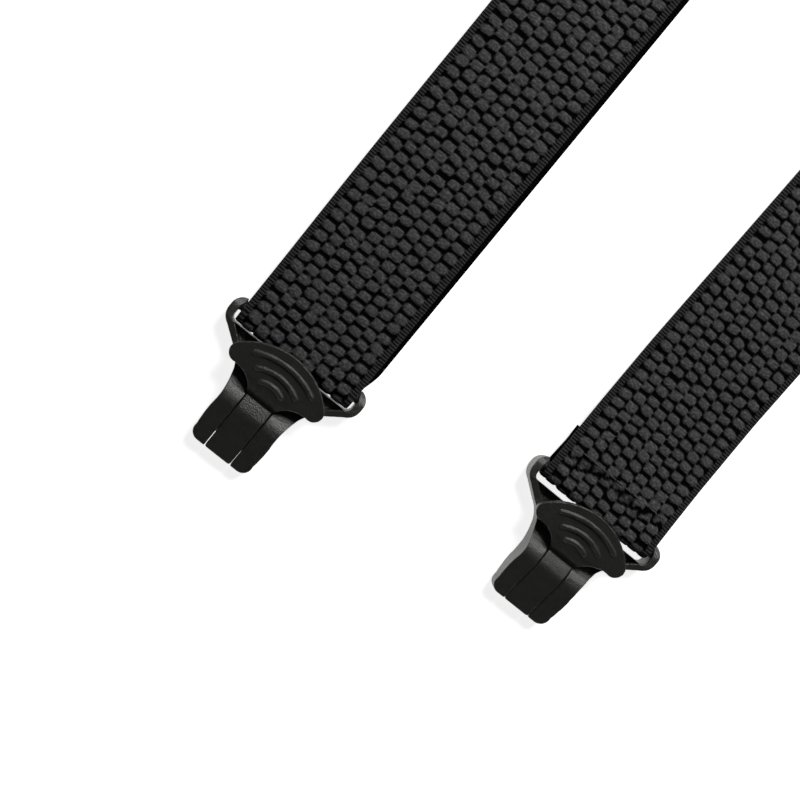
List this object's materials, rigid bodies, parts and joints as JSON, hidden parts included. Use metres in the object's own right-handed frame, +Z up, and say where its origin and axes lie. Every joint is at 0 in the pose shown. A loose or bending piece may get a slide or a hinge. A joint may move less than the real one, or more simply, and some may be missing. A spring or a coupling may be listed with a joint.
{
  "type": "clip-on suspenders",
  "caption": "Crossed-back clip-on suspenders in dark basket-weave elastic with fan-lever plastic clips, slide adjusters and a leather back patch, laid out flat.",
  "frame": {"origin": "on the floor under the middle of the laid-out suspenders, half-way between the outermost clips", "axes": "+Z up from the floor, -Y towards the clips, +Y towards the shoulder folds, the front clips outermost in X"},
  "size_m": [0.4996, 0.5438, 0.0399],
  "materials": {
    "elastic_web": "raised basket weave, matt with a faint sheen",
    "moulded_plastic": "fine-grained satin moulding",
    "leather": "smooth black leather",
    "thread": "black sewing thread",
    "steel": "plain wire and pin",
    "black_metal": "black enamel on pressed steel"
  },
  "bodies": {
    "harness": {"left_strap": "elastic_web", "left_strap_return": "elastic_web", "right_strap": "elastic_web", "right_strap_return": "elastic_web", "rear_left_stitches": "thread", "rear_right_stitches": "thread", "cross_patch_bottom": "leather", "cross_patch_top": "leather", "patch_stitching": "thread"},
    "front_left_clip": {"front_left_clip_frame": "moulded_plastic", "front_left_hinge_pin": "steel", "front_left_torsion_spring": "steel"},
    "front_left_lever": {"front_left_clip_lever": "moulded_plastic"},
    "rear_left_clip": {"rear_left_clip_frame": "moulded_plastic", "rear_left_hinge_pin": "steel", "rear_left_torsion_spring": "steel"},
    "rear_left_lever": {"rear_left_clip_lever": "moulded_plastic"},
    "front_right_clip": {"front_right_clip_frame": "moulded_plastic", "front_right_hinge_pin": "steel", "front_right_torsion_spring": "steel"},
    "front_right_lever": {"front_right_clip_lever": "moulded_plastic"},
    "rear_right_clip": {"rear_right_clip_frame": "moulded_plastic", "rear_right_hinge_pin": "steel", "rear_right_torsion_spring": "steel"},
    "rear_right_lever": {"rear_right_clip_lever": "moulded_plastic"},
    "left_adjuster": {"left_adjuster_frame": "black_metal", "left_adjuster_pin": "steel", "left_strap_tab": "elastic_web", "left_tab_stitches": "thread"},
    "left_grip": {"left_adjuster_grip": "black_metal"},
    "right_adjuster": {"right_adjuster_frame": "black_metal", "right_adjuster_pin": "steel", "right_strap_tab": "elastic_web", "right_tab_stitches": "thread"},
    "right_grip": {"right_adjuster_grip": "black_metal"}
  },
  "joints": [
    {"name": "front_left_clip_swing", "type": "hinge", "parent": "harness", "child": "front_left_clip", "pos_m": [-0.2278, -0.22204, 0.00335], "axis": [-0.9397, 0.342, 0], "range_deg": [-50, 35]},
    {"name": "front_left_lever_press", "type": "hinge", "parent": "front_left_clip", "child": "front_left_lever", "pos_m": [-0.23327, -0.23708, 0.0046], "axis": [-0.9397, 0.342, 0], "range_deg": [0, 10], "stiffness_Nm_per_rad": 0.05, "springref_deg": -17.19, "deforming": ["front_left_torsion_spring"]},
    {"name": "rear_left_clip_swing", "type": "hinge", "parent": "harness", "child": "rear_left_clip", "pos_m": [-0.13681, -0.23557, 0.00335], "axis": [-0.9397, 0.342, 0], "range_deg": [-50, 35]},
    {"name": "rear_left_lever_press", "type": "hinge", "parent": "rear_left_clip", "child": "rear_left_lever", "pos_m": [-0.14228, -0.2506, 0.0046], "axis": [-0.9397, 0.342, 0], "range_deg": [0, 10], "stiffness_Nm_per_rad": 0.05, "springref_deg": -17.19, "deforming": ["rear_left_torsion_spring"]},
    {"name": "front_right_clip_swing", "type": "hinge", "parent": "harness", "child": "front_right_clip", "pos_m": [0.2278, -0.22204, 0.00335], "axis": [-0.9397, -0.342, 0], "range_deg": [-50, 35]},
    {"name": "front_right_lever_press", "type": "hinge", "parent": "front_right_clip", "child": "front_right_lever", "pos_m": [0.23327, -0.23708, 0.0046], "axis": [-0.9397, -0.342, 0], "range_deg": [0, 10], "stiffness_Nm_per_rad": 0.05, "springref_deg": -17.19, "deforming": ["front_right_torsion_spring"]},
    {"name": "rear_right_clip_swing", "type": "hinge", "parent": "harness", "child": "rear_right_clip", "pos_m": [0.13681, -0.23557, 0.00335], "axis": [-0.9397, -0.342, 0], "range_deg": [-50, 35]},
    {"name": "rear_right_lever_press", "type": "hinge", "parent": "rear_right_clip", "child": "rear_right_lever", "pos_m": [0.14228, -0.2506, 0.0046], "axis": [-0.9397, -0.342, 0], "range_deg": [0, 10], "stiffness_Nm_per_rad": 0.05, "springref_deg": -17.19, "deforming": ["rear_right_torsion_spring"]},
    {"name": "left_adjuster_slide", "type": "slide", "parent": "harness", "child": "left_adjuster", "axis": [-0.342, -0.9397, 0], "range_m": [0, 0.11], "deforming": ["left_strap_return"]},
    {"name": "left_grip_lift", "type": "hinge", "parent": "left_adjuster", "child": "left_grip", "pos_m": [-0.13032, 0.04577, 0.0082], "axis": [-0.9397, 0.342, 0], "range_deg": [0, 75]},
    {"name": "right_adjuster_slide", "type": "slide", "parent": "harness", "child": "right_adjuster", "axis": [0.342, -0.9397, 0], "range_m": [0, 0.11], "deforming": ["right_strap_return"]},
    {"name": "right_grip_lift", "type": "hinge", "parent": "right_adjuster", "child": "right_grip", "pos_m": [0.13032, 0.04577, 0.0082], "axis": [-0.9397, -0.342, 0], "range_deg": [0, 75]}
  ]
}
